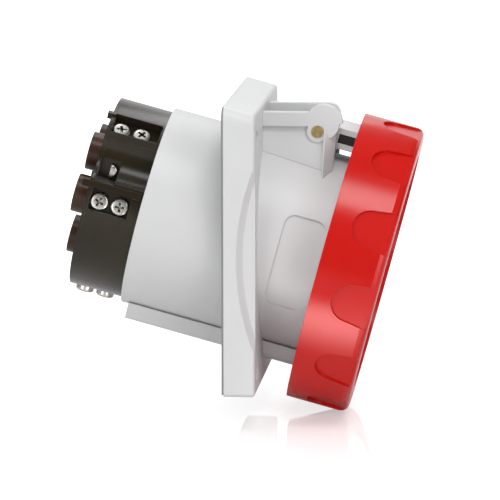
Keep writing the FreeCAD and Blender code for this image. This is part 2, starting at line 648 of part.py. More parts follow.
# Terminal block: a plug that fills the barrel and the part that stands out behind it
block = body("terminal_block")
turned(block, [
    ("0", "-block_back"),
    ("block_bore / 2", "-block_back"),
    ("block_bore / 2", "-barrel_back"),
    ("barrel_bore / 2 - fit_gap", "-barrel_back"),
    ("barrel_bore / 2 - fit_gap", "-shoulder_back - core_flange"),
    ("0", "-shoulder_back - core_flange"),
])
for angle in GROOVES:
    drilled(block, str(angle), "groove_circle", "0", "2 * groove_radius", "-block_back - 1", "-barrel_back")
for angle, back, width in BROWS:
    prism(block, str(angle), "block_bore / 2 - 2 * brow_rise", "block_bore / 2 + brow_rise", f"-{width} / 2",
          f"{width} / 2", f"-{back}", "-barrel_back - 1")
for angle, front, behind, ahead in POCKETS:
    slot(block, str(angle), "head_circle", "block_bore / 2 + 5", "-" + behind, ahead, "-pocket_back", f"-{front}")
for near, far in (("-block_bore / 2 - 1", "-window_floor"), ("window_floor", "block_bore / 2 + 1")):
    slot(block, "0", near, far, "window_low", "window_high", "-window_back", "-window_front")
for angle, end_angle, circle_radius, sleeve, floor in CONTACTS.values():
    middle = str((angle + end_angle) / 2)
    spread = f"({circle_radius} * sin({abs(angle - end_angle) / 2} * 1 deg) + terminal_side / 3 + snug)"
    drilled(block, str(angle), "contact_circle", "0", f"{sleeve} + 2 * sleeve_wall + 2 * snug",
            f"-({SLEEVE_END}) - snug", "-shoulder_back - core_flange + 1")
    slot(block, middle, "contact_circle - 3 - snug", f"{circle_radius} + terminal_side / 3 + snug", f"-{spread}",
         spread, f"-({SLEEVE_END}) - snug", "-shoulder_back - core_flange + 1")
    slot(block, str(end_angle), f"{circle_radius} - terminal_side / 2 - snug",
         f"{circle_radius} + terminal_side / 2 + snug", "-terminal_side / 2 - snug", "terminal_side / 2 + snug",
         "-block_back - 1", "-sleeve_back + snug")
    flat = sketch(block, "YZ", "block_bore / 2 + 5", str(end_angle))
    for level in ("-screw_back", "-screw_back + screw_pitch"):
        circle(flat, "0", level, "shank_bore + 2 * snug")
    pocket(block, flat, f"block_bore / 2 + 5 - {circle_radius}")
drilled(block, "0", "0", "0", "pilot_outer + 2 * snug", "-block_back - 1", "-shoulder_back - core_flange + 1")

# Entry cover behind the block, with a collar round each wire entry
cover = body("entry_cover")
rod(cover, "0", "0", "0", "block_bore", "-" + COVER_BACK, "-block_back")
for angle in GROOVES:
    drilled(cover, str(angle), "groove_circle", "0", "2 * groove_radius", f"-{COVER_BACK} - 1", "-block_back + 1")
for angle, back, width in BROWS:
    slot(cover, str(angle), "block_bore / 2 - 2 * brow_rise - snug", "block_bore / 2 + 1", f"-{width} / 2 - snug",
         f"{width} / 2 + snug", f"-{COVER_BACK} - 1", "-block_back + 1")
collars = body("wire_collars")
for angle, end_angle, circle_radius, sleeve, floor in CONTACTS.values():
    drilled(cover, str(end_angle), circle_radius, "0", "entry_bore", f"-{COVER_BACK} - 1", "-block_back + 1")
    flat = sketch(collars, "XY", f"-{COVER_BACK} - entry_height", str(end_angle))
    circle(flat, circle_radius, "0", "entry_bore + 2 * entry_wall")
    circle(flat, circle_radius, "0", "entry_bore")
    pad(collars, flat, "entry_height")

# Terminal screws, two in each terminal
screws = body("terminal_screws")
for angle, end_angle, circle_radius, sleeve, floor in CONTACTS.values():
    tip = f"{circle_radius} + terminal_bore / 2"
    for start, length, diameter in ((floor, "head_height", "head_bore"),
                                    (tip, f"{floor} - {circle_radius} - terminal_bore / 2 + 1", "shank_bore")):
        flat = sketch(screws, "YZ", start, str(end_angle))
        for level in ("-screw_back", "-screw_back + screw_pitch"):
            circle(flat, "0", level, diameter)
        pad(screws, flat, length)

clips = body("test_clips")
for near, far in (("-window_floor - clip_thick", "-window_floor"), ("window_floor", "window_floor + clip_thick")):
    prism(clips, "0", near, far, "window_low + 1", "window_high - 2", "-window_front - clip_thick - 0.6",
          "-window_front - 0.6")

seal = body("shroud_seal")
rod(seal, "0", "0", "0", "barrel_bore - 2 * snug", "-shoulder_front", "-seal_front")
drilled(seal, "0", "0", "0", "barrel_bore - 2 * snug - 2 * seal_width", "-shoulder_front - 1", "-seal_front + 1")

# Hinge pin and its spring
pin = body("hinge_pin")
flat = sketch(pin, "YZ")
circle(flat, PIN_Y, PIN_Z, "pin_bore")
pad(pin, flat, "2 * cheek_half + 0.4", both=True)

spring = body("hinge_spring")
flat = sketch(spring, "XZ", "-" + PIN_Y)
inner = f"{PIN_Z} + pin_bore / 2 + 2 * snug"
turns = int(number("spring_turns"))
points = [("-spring_half + snug", inner)]
for turn in range(turns):
    points += [
        (f"-spring_half + snug + {turn} * 2 * (spring_half - snug) / {turns}", f"{inner} + spring_wire / 2"),
        (f"-spring_half + snug + {turn + 0.5} * 2 * (spring_half - snug) / {turns}", f"{inner} + spring_wire"),
    ]
points += [("spring_half - snug", f"{inner} + spring_wire / 2"), ("spring_half - snug", inner)]
polygon(flat, points)
axle = flat.addGeometry(Part.LineSegment(FreeCAD.Vector(-9, number(PIN_Z), 0), FreeCAD.Vector(9, number(PIN_Z), 0)),
                        True)
flat.addConstraint(Sketcher.Constraint("Horizontal", axle))
pin_down(flat, axle, 1, "Y", PIN_Z)
document.recompute()
coil = spring.newObject("PartDesign::Revolution", "hinge_spring_coil")
coil.Profile = flat
coil.ReferenceAxis = (flat, ["Axis0"])
coil.Angle = 360

# Lid with its arm
lid = body("lid")
LID_FRONT = "(ring_front - lid_dish)"
turned(lid, [
    ("0", f"{LID_FRONT} - lid_skin"),
    ("lid_seal_inner - 2", f"{LID_FRONT} - lid_skin"),
    ("lid_seal_inner - 2", LID_BACK),
    ("lid_seal_inner", LID_BACK),
    ("lid_seal_inner", f"{LID_BACK} + lid_seal_sink"),
    ("lid_seal_inner + lid_seal_width", f"{LID_BACK} + lid_seal_sink"),
    ("lid_seal_inner + lid_seal_width", LID_BACK),
    (RING_BORE + " - lid_clear", LID_BACK),
    (RING_BORE + " - lid_clear", f"{LID_BACK} + lid_rim"),
    ("ring_lip / 2 - lid_clear", f"{LID_BACK} + lid_rim"),
    ("ring_lip / 2 - lid_clear", LID_FRONT),
    ("0", LID_FRONT),
])
prism(lid, "0", "-arm_half", "arm_half", "arm_step_under", "arm_crown", "arm_step - 1", f"{LID_BACK} + lid_rim / 2")
prism(lid, "0", "-arm_half", "arm_half", "arm_low", "arm_crown", PIN_Z, "arm_step")
turned(lid, [
    ("arm_crown", "0"),
    ("2 * arm_crown", "0"),
    ("2 * arm_crown", LID_BACK),
    ("arm_crown", LID_BACK),
], groove=True)
flat = sketch(lid, "YZ")
circle(flat, PIN_Y, PIN_Z, "2 * eye_radius")
pad(lid, flat, "2 * arm_half", both=True)
slot(lid, "0", "-arm_half - 1", "arm_half + 1", "arm_low + arm_plate", "arm_under", "arm_window_back",
     "arm_window_front")
slot(lid, "0", "-spring_half", "spring_half", f"{PIN_Y} - eye_radius - 1", f"{PIN_Y} + eye_radius + 1",
     f"{PIN_Z} - eye_radius - 1", f"{PIN_Z} + eye_radius + 0.4")
flat = sketch(lid, "YZ")
circle(flat, PIN_Y, PIN_Z, "pin_bore + 2 * eye_gap")
pocket(lid, flat, "4 * arm_half", both=True)

lid_seal = body("lid_seal")
rod(lid_seal, "0", "0", "0", "2 * (lid_seal_inner + lid_seal_width - snug)", "collar_front + fit_gap",
    f"{LID_BACK} + lid_seal_sink")
drilled(lid_seal, "0", "0", "0", "2 * (lid_seal_inner + snug)", "collar_front", f"{LID_BACK} + lid_seal_sink + 1")

buffer = body("hinge_buffer")
prism(buffer, "0", "-arm_half + fit_gap", "arm_half - fit_gap", "arm_low + arm_plate", "arm_under",
      "arm_window_back", "arm_window_front")

# Bayonet ring on the lid
ring = body("ring_whole")
turned(ring, [
    (RING_BORE, "ring_back"),
    ("ring_outer / 2", "ring_back"),
    ("ring_outer / 2", "ring_front - ring_round"),
    ("ring_outer / 2 - 0.134 * ring_round", "ring_front - ring_round / 2"),
    ("ring_outer / 2 - ring_round / 2", "ring_front - 0.134 * ring_round"),
    ("ring_outer / 2 - ring_round", "ring_front"),
    ("ring_lip / 2", "ring_front"),
    ("ring_lip / 2", "ring_front - ring_lip_thick"),
    (RING_BORE, "ring_front - ring_lip_thick"),
])
recesses = []
flat = sketch(ring, "YZ", "ring_outer / 2", "ring_phase")
ROUND = "ring_back + recess_back + recess_radius"
circle(flat, "0", ROUND, "2 * recess_radius")
recesses.append(pocket(ring, flat, "recess_depth"))
flat = sketch(ring, "YZ", "ring_outer / 2", "ring_phase")
polygon(flat, [
    ("-recess_radius", ROUND),
    ("recess_radius", ROUND),
    ("recess_half", "ring_front + 1"),
    ("-recess_half", "ring_front + 1"),
])
recesses.append(pocket(ring, flat, "recess_depth"))
document.recompute()
pattern = ring.newObject("PartDesign::PolarPattern", "bayonet_ring_recesses")
pattern.Originals = recesses
pattern.Axis = ([item for item in ring.Origin.OriginFeatures if item.Role == "Z_Axis"][0], [""])
pattern.Angle = 360
bind(pattern, "Occurrences", "recess_count")
ring.Tip = pattern
lip, band = halved("ring_lip", "bayonet_ring", ring, "ring_back - 1", "ring_front - ring_lip_thick")
lug_bars = body("ring_lug_bars")
for half_turn in ("0", "180"):
    prism(lug_bars, f"{half_turn} + lug_start", COLLAR + " + lug_gap", RING_BORE + " + ring_wall / 2",
          "-lug_width / 2", "lug_width / 2", "collar_back + cam_inset - lug_gap - lug_length",
          "collar_back + cam_inset - lug_gap")
lugs = carved("ring_lugs", lug_bars, ring)
snap_bars = body("ring_snap_bars")
for angle in ("210", "270", "330"):
    prism(snap_bars, angle, RING_BORE + " - snap_height", RING_BORE + " + ring_wall / 2", "-snap_width / 2",
          "snap_width / 2", f"{LID_BACK} - fit_gap - snap_length", f"{LID_BACK} - fit_gap")
snaps = carved("ring_snaps", snap_bars, ring)

document.recompute()
NODES = [plate, barrel_front, barrel_rear, brackets, cams, gasket, core, pilot, block, cover, collars, screws, clips,
         seal, pin, spring, lid, lid_seal, buffer, band, lip, lugs, snaps]
NODES += [document.getObject("contact_" + name) for name in CONTACTS]
for thing in document.Objects:
    if "Invalid" in thing.State or "Error" in thing.State:
        raise RuntimeError(f"{thing.Name} failed: {thing.State}")
os.makedirs("parts", exist_ok=True)
for node in NODES:
    if node.Shape.isNull() or not node.Shape.isValid():
        raise RuntimeError(f"{node.Label} has no sound shape")
    node.Shape.exportStep(f"parts/{node.Label}.step")
    box = node.Shape.BoundBox
    print(f"{node.Label}: {len(node.Shape.Solids)} solids, {node.Shape.Volume:.0f} mm3, "
          f"{box.XLength:.1f} x {box.YLength:.1f} x {box.ZLength:.1f}")
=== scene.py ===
"""Finishes, small parts and the photograph's view for the angled panel socket.

Lengths are metres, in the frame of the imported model: +Z is up, the lid looks to -Y and the terminals to +Y.  The
round parts lie on the socket axis, which leans forward and down.
"""
import logging
import math
from dataclasses import dataclass, field, replace
from enum import Enum
from itertools import product
from typing import Callable

import bpy
from mathutils import Matrix, Vector


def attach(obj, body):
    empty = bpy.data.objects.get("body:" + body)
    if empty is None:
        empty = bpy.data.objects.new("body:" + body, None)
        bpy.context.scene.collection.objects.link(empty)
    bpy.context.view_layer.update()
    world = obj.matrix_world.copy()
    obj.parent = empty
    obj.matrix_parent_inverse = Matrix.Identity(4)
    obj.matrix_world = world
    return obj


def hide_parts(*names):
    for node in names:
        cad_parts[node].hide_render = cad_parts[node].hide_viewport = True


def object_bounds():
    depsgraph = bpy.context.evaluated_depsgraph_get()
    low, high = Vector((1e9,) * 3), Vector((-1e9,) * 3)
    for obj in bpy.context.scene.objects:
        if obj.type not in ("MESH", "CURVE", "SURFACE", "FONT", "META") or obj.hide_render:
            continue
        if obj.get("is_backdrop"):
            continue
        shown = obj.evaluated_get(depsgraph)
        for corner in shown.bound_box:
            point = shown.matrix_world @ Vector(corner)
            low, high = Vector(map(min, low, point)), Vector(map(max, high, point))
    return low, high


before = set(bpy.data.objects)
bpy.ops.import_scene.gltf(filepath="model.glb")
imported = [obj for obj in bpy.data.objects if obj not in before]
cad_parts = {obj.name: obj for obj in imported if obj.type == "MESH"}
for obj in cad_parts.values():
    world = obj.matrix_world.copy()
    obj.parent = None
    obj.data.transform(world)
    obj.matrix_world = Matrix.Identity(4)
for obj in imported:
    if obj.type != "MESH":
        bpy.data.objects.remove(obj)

log = logging.getLogger("socket")

Point = tuple[float, float, float]
Pair = tuple[float, float]
Colour = tuple[float, float, float, float]
Stops = tuple[tuple[float, float], ...]
Materials = dict[str, bpy.types.Material]

MM = 0.001
# A face looks along an axis when its normal reaches further along it than this.
FACING = 0.9
WHITE: Colour = (1.0, 1.0, 1.0, 1.0)


class Body(Enum):
    """The body that carries every piece modelled here; the solids ride on theirs already."""

    SOCKET = "socket"


class Fade(Enum):
    """How a value runs from one level to the next."""

    EVEN = "LINEAR"
    SOFT = "SMOOTHSTEP"


@dataclass(frozen=True)
class SocketAxis:
    """The leaning axis that the barrel, the contacts, the lid and the ring share."""

    tilt: float = math.radians(15.0)
    origin: Point = (0.0, -12.0 * MM, 0.5 * MM)

    def matrix(self) -> Matrix:
        """The frame on the axis: x to the right, y up across the axis, z forward along it."""
        return Matrix.Translation(self.origin) @ Matrix.Rotation(math.pi / 2 + self.tilt, 4, "X")

    def radial(self, angle: float, radius: float, along: float) -> Matrix:
        """A frame that stands on a cylinder about the axis.

        Args:
            angle: degrees round the axis, counter-clockwise from +X seen from the front.
            radius: distance from the axis.
            along: place along the axis, forward of the flange.

        Returns:
            A matrix whose z points away from the axis and whose x points backward along it.
        """
        turn = Matrix.Rotation(math.radians(angle), 4, "Z")
        stand = Matrix(((0, 0, 1, radius), (0, 1, 0, 0), (-1, 0, 0, along), (0, 0, 0, 1)))
        return self.matrix() @ turn @ stand


AXIS = SocketAxis()


class Wire:
    """An output socket of a shader graph that takes part in sums like a number."""

    def __init__(self, graph: "Graph", socket: bpy.types.NodeSocket) -> None:
        """Wraps a socket of a graph."""
        self.graph = graph
        self.socket = socket

    def _join(self, operation: str, first: "Wire | float", second: "Wire | float") -> "Wire":
        """Adds one Math node for two values."""
        return self.graph.node("ShaderNodeMath", {"operation": operation}, {0: first, 1: second})

    def __add__(self, other: "Wire | float") -> "Wire":
        """This value plus another."""
        return self._join("ADD", self, other)

    __radd__ = __add__

    def __sub__(self, other: "Wire | float") -> "Wire":
        """This value less another."""
        return self._join("SUBTRACT", self, other)

    def __rsub__(self, other: "Wire | float") -> "Wire":
        """A number less this value."""
        return self._join("SUBTRACT", other, self)

    def __mul__(self, other: "Wire | float") -> "Wire":
        """This value times another."""
        return self._join("MULTIPLY", self, other)

    __rmul__ = __mul__

    def swing(self, reach: float) -> "Wire":
        """A noise of 0 to 1 laid about zero, with that much between its ends."""
        return (self - 0.5) * reach


class Graph:
    """The node tree of a material or of the world, built from expressions."""

    def __init__(self, owner: bpy.types.Material | bpy.types.World) -> None:
        """Empties the owner's node tree.

        Args:
            owner: the new material or world.
        """
        owner.use_nodes = True
        self.owner = owner
        self.tree = owner.node_tree
        self.tree.nodes.clear()

    def node(
        self, kind: str, settings: dict | None = None, inputs: dict | None = None, output: int | str = 0
    ) -> Wire:
        """Adds a node.

        Args:
            kind: the node's type.
            settings: properties, set before the sockets; pairs under "stops" fill a ramp.
            inputs: values or wires by socket name or number.
            output: the output that is wanted.

        Returns:
            The wanted output.
        """
        made = self.tree.nodes.new(kind)
        for key, value in (settings or {}).items():
            if key == "stops":
                self._fill_ramp(made.color_ramp, value)
            else:
                setattr(made, key, value)
        for key, value in (inputs or {}).items():
            if isinstance(value, Wire):
                self.tree.links.new(value.socket, made.inputs[key])
            else:
                made.inputs[key].default_value = value
        return Wire(self, made.outputs[output])

    @staticmethod
    def _fill_ramp(ramp: bpy.types.ColorRamp, stops: Stops) -> None:
        """Sets a ramp to grey levels at places.

        Args:
            ramp: the ramp of a new node.
            stops: pairs of a place and its level.
        """
        while len(ramp.elements) < len(stops):
            ramp.elements.new(1.0)
        for element, (place, level) in zip(ramp.elements, stops):
            element.position = place
            element.color = (level, level, level, 1.0)

    def place(self) -> Wire:
        """The point on the object, in metres."""
        return self.node("ShaderNodeTexCoord", output="Object")

    def away(self, spot: Point) -> Wire:
        """How far the point on the object is from a spot."""
        return self.node("ShaderNodeVectorMath", {"operation": "DISTANCE"}, {0: self.place(), 1: spot}, "Value")

    def ray(self, kind: str) -> Wire:
        """Whether the surface is met by a ray of one kind, 1 or 0."""
        return self.node("ShaderNodeLightPath", output=f"Is {kind} Ray")

    def noise(self, scale: float, detail: float = 2.0, rough: float = 0.5) -> Wire:
        """Noise between 0 and 1 with about scale spots to the metre."""
        inputs = {"Vector": self.place(), "Scale": scale, "Detail": detail, "Roughness": rough}
        return self.node("ShaderNodeTexNoise", {}, inputs)

    def ramp(self, value: Wire, stops: Stops) -> Wire:
        """A value bent through grey stops."""
        return self.node("ShaderNodeValToRGB", {"stops": stops}, {"Fac": value})

    def fade(self, value: Wire, places: Pair, levels: Pair, way: Fade = Fade.EVEN) -> Wire:
        """A value between two places turned into a level between two others.

        Args:
            value: what is measured.
            places: where the fade starts and ends.
            levels: the level up to its start and from its end on.
            way: how it runs between them.

        Returns:
            The level.
        """
        inputs = {"Value": value, "From Min": places[0], "From Max": places[1], "To Min": levels[0],
                  "To Max": levels[1]}
        return self.node("ShaderNodeMapRange", {"interpolation_type": way.value}, inputs)

    def blend(self, factor: Wire, first: Colour | Wire, second: Colour | Wire) -> Wire:
        """One colour mixed into another, through the Mix node's colour sockets: 6 and 7 in, 2 out."""
        return self.node("ShaderNodeMix", {"data_type": "RGBA"}, {0: factor, 6: first, 7: second}, 2)

    def relief(self, height: Wire, depth: float, soft_edge: float) -> Wire:
        """A normal with fine relief, rounded over the edges.

        Args:
            height: the relief between 0 and 1.
            depth: its depth in metres.
            soft_edge: radius of the rounding that the edges seem to have.

        Returns:
            The normal.
        """
        edge = self.node("ShaderNodeBevel", {"samples": 6}, {"Radius": soft_edge})
        inputs = {"Strength": 1.0, "Distance": depth, "Height": height, "Normal": edge}
        return self.node("ShaderNodeBump", {}, inputs)

    def surface(self, **inputs: Wire | float | Colour) -> bpy.types.Material:
        """Closes a material with one shader.

        Args:
            inputs: sockets of the shader, with an underscore for each space.

        Returns:
            The material.
        """
        named = {key.replace("_", " "): value for key, value in inputs.items()}
        self.close(self.node("ShaderNodeBsdfPrincipled", {}, named), "ShaderNodeOutputMaterial")
        return self.owner

    def close(self, shader: Wire, kind: str) -> None:
        """Links a shader to an output node of that kind."""
        out = self.tree.nodes.new(kind)
        self.tree.links.new(shader.socket, out.inputs["Surface"])


@dataclass(frozen=True)
class MouldedPlastic:
    """Injection-moulded plastic with a fine spark-eroded grain and softly broken edges."""

    name: str
    colour: Colour
    shade: Colour
    roughness: float
    grain: float = 2.0e-6
    grain_scale: float = 5200.0
    soft_edge: float = 0.35 * MM
    shine: float = 0.5
    sheen: float = 0.0
    sheen_roughness: float = 0.4
    sheen_tint: Colour = (0.92, 0.9, 1.0, 1)
    cloud_scale: float = 38.0
    cloud_stops: Stops = ((0.35, 0.0), (0.68, 1.0))
    flow_scale: float = 420.0
    grain_share: float = 0.75
    flow_gloss: float = 0.10
    grain_gloss: float = 0.06

    def build(self) -> bpy.types.Material:
        """Mixes the two tones in clouds and puts flow marks and grain in the gloss and the relief.

        Returns:
            The material.
        """
        graph = Graph(bpy.data.materials.new(self.name))
        clouds = graph.noise(self.cloud_scale, detail=4.0)
        grain = graph.noise(self.grain_scale)
        flow = graph.noise(self.flow_scale, detail=3.0, rough=0.6)
        tint = graph.blend(graph.ramp(clouds, self.cloud_stops), self.colour, self.shade)
        height = grain * self.grain_share + flow * (1.0 - self.grain_share)
        gloss = self.roughness + flow.swing(self.flow_gloss) + grain.swing(self.grain_gloss)
        return graph.surface(Base_Color=tint, Roughness=gloss,
                             Normal=graph.relief(height, self.grain, self.soft_edge),
                             Specular_IOR_Level=self.shine, Sheen_Weight=self.sheen,
                             Sheen_Roughness=self.sheen_roughness, Sheen_Tint=self.sheen_tint)


@dataclass(frozen=True)
class BrightMetal:
    """Plated steel or brass with fine turning marks, a slight haze and painted shade darkening its corners."""

    name: str
    colour: Colour
    haze: Colour
    roughness: float
    haze_scale: float = 900.0
    haze_stops: Stops = ((0.4, 0.0), (0.7, 1.0))
    haze_gloss: float = 0.15
    mark_scale: float = 9000.0
    mark_share: float = 0.5
    mark_depth: float = 2.0e-6
    soft_edge: float = 0.15 * MM
    painted_shade: Colour = (0.09, 0.08, 0.06, 1)
    painted_shade_reach: float = 1.2 * MM
    painted_shade_stops: Stops = ((0.35, 1.0), (0.75, 0.0))

    def build(self) -> bpy.types.Material:
        """Hazes the metal in patches and darkens its corners and slots with painted shade.

        Returns:
            The material.
        """
        graph = Graph(bpy.data.materials.new(self.name))
        patches = graph.noise(self.haze_scale, detail=4.0, rough=0.6)
        marks = graph.noise(self.mark_scale)
        tint = graph.blend(graph.ramp(patches, self.haze_stops), self.colour, self.haze)
        # Painted shade: ambient occlusion darkens the colour in corners and slots, where shade falls.
        shaded_corners = graph.node("ShaderNodeAmbientOcclusion", {"samples": 8, "only_local": True},
                             {"Distance": self.painted_shade_reach}, "AO")
        tint = graph.blend(graph.ramp(shaded_corners, self.painted_shade_stops), tint, self.painted_shade)
        height = marks * self.mark_share + patches * (1.0 - self.mark_share)
        return graph.surface(Base_Color=tint, Metallic=1.0,
                             Roughness=self.roughness + patches.swing(self.haze_gloss),
                             Normal=graph.relief(height, self.mark_depth, self.soft_edge))


@dataclass(frozen=True)
class Rubber:
    """Sealing rubber with a soft, dusty sheen."""

    name: str
    colour: Colour
    dust: Colour
    roughness: float = 0.62
    dust_scale: float = 260.0
    dust_stops: Stops = ((0.5, 0.0), (0.8, 1.0))
    dust_share: float = 0.5
    dust_gloss: float = 0.2
    skin_scale: float = 3500.0
    skin_depth: float = 6.0e-6
    soft_edge: float = 0.3 * MM

    def build(self) -> bpy.types.Material:
        """Dusts the rubber in patches, which are duller too.

        Returns:
            The material.
        """
        graph = Graph(bpy.data.materials.new(self.name))
        dust = graph.ramp(graph.noise(self.dust_scale, detail=5.0, rough=0.65), self.dust_stops)
        skin = graph.noise(self.skin_scale, detail=3.0)
        return graph.surface(Base_Color=graph.blend(dust * self.dust_share, self.colour, self.dust),
                             Roughness=self.roughness + dust * self.dust_gloss,
                             Normal=graph.relief(skin, self.skin_depth, self.soft_edge))


Finish = MouldedPlastic | BrightMetal | Rubber

GREY_SHELL = MouldedPlastic("grey_shell", (0.66, 0.663, 0.666, 1), (0.64, 0.643, 0.646, 1), 0.42)
GREY_LID = replace(GREY_SHELL, name="grey_lid")
RED_RING = MouldedPlastic("red_ring", (0.60, 0.004, 0.001, 1), (0.55, 0.004, 0.001, 1), 0.24,
                          grain=1.0e-6, grain_scale=3800.0, soft_edge=0.2 * MM, shine=0.4)
BROWN_BLOCK = MouldedPlastic("brown_block", (0.025, 0.017, 0.007, 1), (0.015, 0.011, 0.005, 1), 0.24,
                             grain=0.5e-6, grain_scale=2600.0, soft_edge=0.3 * MM, shine=0.34, sheen=0.2)
BROWN_COLLAR = MouldedPlastic("brown_collar", (0.070, 0.032, 0.014, 1), (0.030, 0.018, 0.010, 1), 0.30,
                              grain=3.0e-6, grain_scale=2600.0, shine=0.3)
DARK_CORE = MouldedPlastic("dark_core", (0.022, 0.021, 0.021, 1), (0.018, 0.017, 0.017, 1), 0.45)
NICKEL = BrightMetal("nickel", (0.62, 0.60, 0.57, 1), (0.50, 0.47, 0.43, 1), 0.26)
BRASS = BrightMetal("brass", (0.44, 0.33, 0.15, 1), (0.26, 0.18, 0.08, 1), 0.36)
SPRING_STEEL = BrightMetal("spring_steel", (0.42, 0.42, 0.43, 1), (0.30, 0.30, 0.31, 1), 0.30)
BLACK_RUBBER = Rubber("black_rubber", (0.008, 0.008, 0.008, 1), (0.05, 0.048, 0.045, 1))
GREY_GASKET = Rubber("grey_gasket", (0.30, 0.30, 0.30, 1), (0.36, 0.36, 0.35, 1))

FINISHES: tuple[Finish, ...] = (GREY_SHELL, GREY_LID, RED_RING, BROWN_BLOCK, BROWN_COLLAR, DARK_CORE, NICKEL,
                                BRASS, SPRING_STEEL, BLACK_RUBBER, GREY_GASKET)


def dress(thing: bpy.types.Object, material: bpy.types.Material) -> None:
    """Gives an object one material all over."""
    thing.data.materials.clear()
    thing.data.materials.append(material)


def pick_only(thing: bpy.types.Object) -> None:
    """Selects one object and makes it the active one.

    Args:
        thing: the object.
    """
    bpy.ops.object.select_all(action="DESELECT")
    thing.select_set(True)
    bpy.context.view_layer.objects.active = thing


def settle(thing: bpy.types.Object, place: Matrix) -> None:
    """Moves a finished piece into its place and leaves its origin at the model's.

    Args:
        thing: the piece, made about its own origin.
        place: where that origin goes.
    """
    pick_only(thing)
    thing.matrix_world = place @ thing.matrix_world
    bpy.ops.object.transform_apply(location=True, rotation=True, scale=True)


def copied(thing: bpy.types.Object, name: str) -> bpy.types.Object:
    """A copy of a piece with a mesh of its own.

    Args:
        thing: the piece.
        name: the copy's name.

    Returns:
        The copy.
    """
    twin = thing.copy()
    twin.data = thing.data.copy()
    twin.name = name
    bpy.context.scene.collection.objects.link(twin)
    return twin


def apply_modifier(thing: bpy.types.Object, kind: str, **settings: object) -> None:
    """Adds a modifier to a piece and applies it.

    Args:
        thing: the piece.
        kind: the modifier's type.
        settings: its properties.
    """
    pick_only(thing)
    made = thing.modifiers.new(kind.lower(), kind)
    for key, value in settings.items():
        setattr(made, key, value)
    bpy.ops.object.modifier_apply(modifier=made.name)


def select_faces(thing: bpy.types.Object, wanted: Callable[[bpy.types.MeshPolygon], bool]) -> None:
    """Selects some faces of a piece, and leaves it in edit mode.

    Args:
        thing: the piece.
        wanted: a test that is true of the faces to select.
    """
    pick_only(thing)
    bpy.ops.object.mode_set(mode="EDIT")
    bpy.ops.mesh.select_mode(type="FACE")
    bpy.ops.mesh.select_all(action="DESELECT")
    bpy.ops.object.mode_set(mode="OBJECT")
    for face in thing.data.polygons:
        face.select = wanted(face)
    bpy.ops.object.mode_set(mode="EDIT")


def leave_edit() -> None:
    """Goes back to object mode."""
    bpy.ops.object.mode_set(mode="OBJECT")


def smooth(thing: bpy.types.Object, angle: float) -> None:
    """Shades a piece smooth, except over edges that turn by more degrees than angle."""
    pick_only(thing)
    bpy.ops.object.shade_smooth_by_angle(angle=math.radians(angle))


@dataclass
class Node:
    """A part that keeps the solid's own mesh and gets a finish."""

    name: str
    finish: Finish

    def dress(self, materials: Materials) -> None:
        """Puts the finish on the node."""
        dress(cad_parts[self.name], materials[self.finish.name])
        log.info("%s dressed in %s", self.name, self.finish.name)


@dataclass(frozen=True)
class ScrewSeat:
    """Where a terminal's screws sit: degrees round the socket axis, distance from it and length of the shank."""

    angle: float
    radius: float
    shank: float


